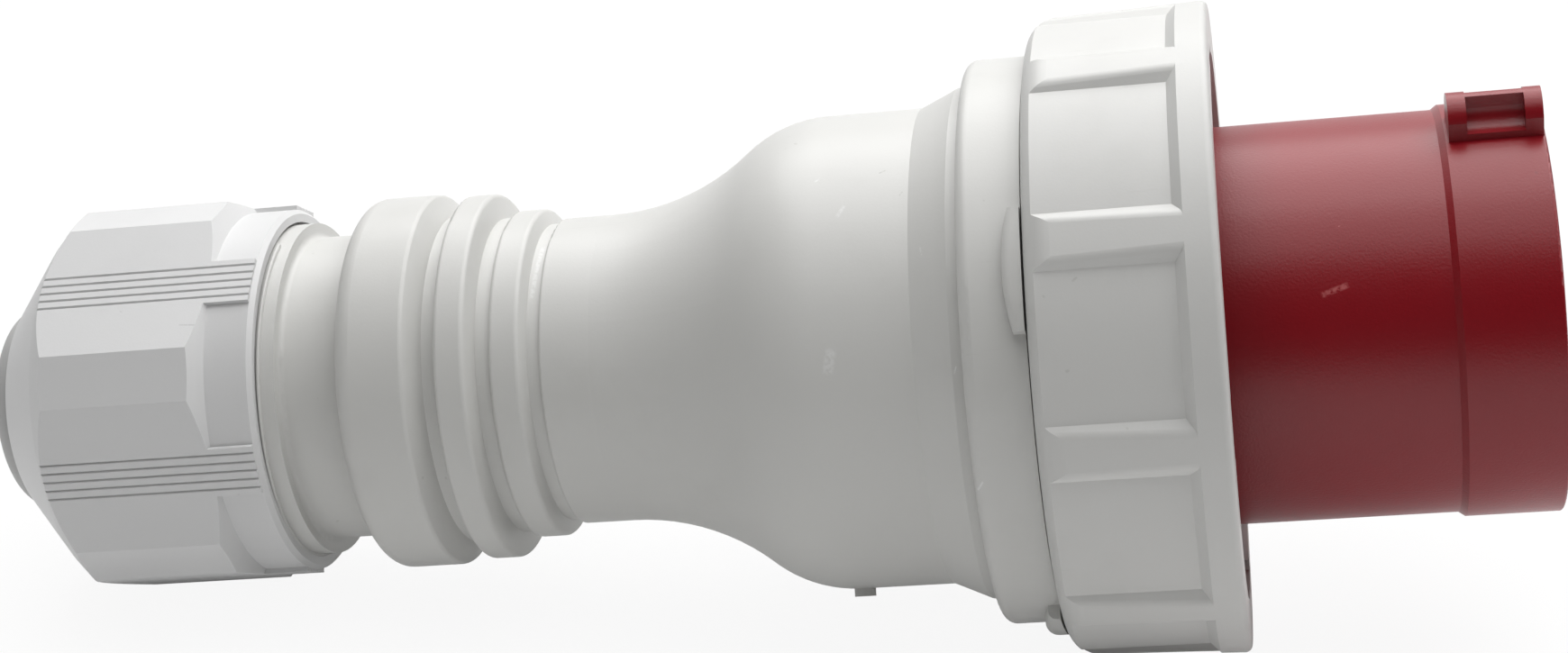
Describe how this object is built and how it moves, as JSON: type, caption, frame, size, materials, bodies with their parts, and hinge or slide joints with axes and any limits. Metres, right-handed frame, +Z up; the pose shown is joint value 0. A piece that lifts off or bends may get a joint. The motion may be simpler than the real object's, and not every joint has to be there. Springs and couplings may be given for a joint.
{
  "type": "industrial plug",
  "caption": "Watertight industrial plug with a keyed shroud over its contacts, a turning bayonet ring, a ribbed housing and a screwed cable gland, lying on its side",
  "frame": {"origin": "centre of the bounding box on the surface the plug lies on", "axes": "+X towards the mouth, level, along the lying plug; +Z up; the plug's own axis rises to the mouth by the angle at which it lies"},
  "size_m": [0.2802, 0.1136, 0.114],
  "materials": {
    "red_plastic": "smooth moulded red",
    "grey_plastic": "smooth moulded light grey, satin",
    "seal_rubber": "black seal",
    "grommet_rubber": "grey soft sleeve",
    "carrier_plastic": "dark insulating block",
    "cage_plastic": "pale nylon",
    "washer_plastic": "pale nylon",
    "contact_metal": "plated, smooth",
    "screw_steel": "zinc plated"
  },
  "bodies": {
    "plug": {"front_body": "red_plastic", "rear_housing": "grey_plastic", "face_gasket": "seal_rubber", "housing_oring": "seal_rubber", "contact_carrier": "carrier_plastic", "clamp_cage": "cage_plastic", "cable_grommet": "grommet_rubber", "pin_earth": "contact_metal", "pin_neutral": "contact_metal", "pin_l3": "contact_metal", "pin_l2": "contact_metal", "pin_l1": "contact_metal", "pin_pilot": "contact_metal", "terminal_screw_earth_a": "screw_steel", "terminal_screw_earth_b": "screw_steel", "terminal_screw_neutral_a": "screw_steel", "terminal_screw_neutral_b": "screw_steel", "terminal_screw_l3_a": "screw_steel", "terminal_screw_l3_b": "screw_steel", "terminal_screw_l2_a": "screw_steel", "terminal_screw_l2_b": "screw_steel", "terminal_screw_l1_a": "screw_steel", "terminal_screw_l1_b": "screw_steel", "terminal_screw_pilot": "screw_steel", "housing_screw_1": "screw_steel", "housing_screw_2": "screw_steel", "housing_screw_3": "screw_steel", "housing_screw_4": "screw_steel", "carrier_screw_1": "screw_steel", "carrier_screw_2": "screw_steel", "carrier_screw_3": "screw_steel"},
    "lock_ring": {"bayonet_ring": "grey_plastic"},
    "thrust_ring": {"thrust_washer": "washer_plastic"},
    "nut": {"gland_nut": "grey_plastic"}
  },
  "joints": [
    {"name": "ring_turn", "type": "hinge", "parent": "plug", "child": "lock_ring", "pos_m": [0.05424, 0, 0.05462], "axis": [0.9944, 0, 0.1056], "range_deg": [0, 40]},
    {"name": "nut_travel", "type": "slide", "parent": "plug", "child": "thrust_ring", "axis": [0.9944, 0, 0.1056], "range_m": [-0.0091, 0.0061]},
    {"name": "nut_turn", "type": "hinge", "parent": "thrust_ring", "child": "nut", "pos_m": [-0.10586, 0, 0.03761], "axis": [0.9944, 0, 0.1056], "range_deg": [-1080, 720]}
  ],
  "couplings": [
    {"joint": "nut_travel", "follows": "nut_turn", "m_per_rad": 0.00047746}
  ]
}
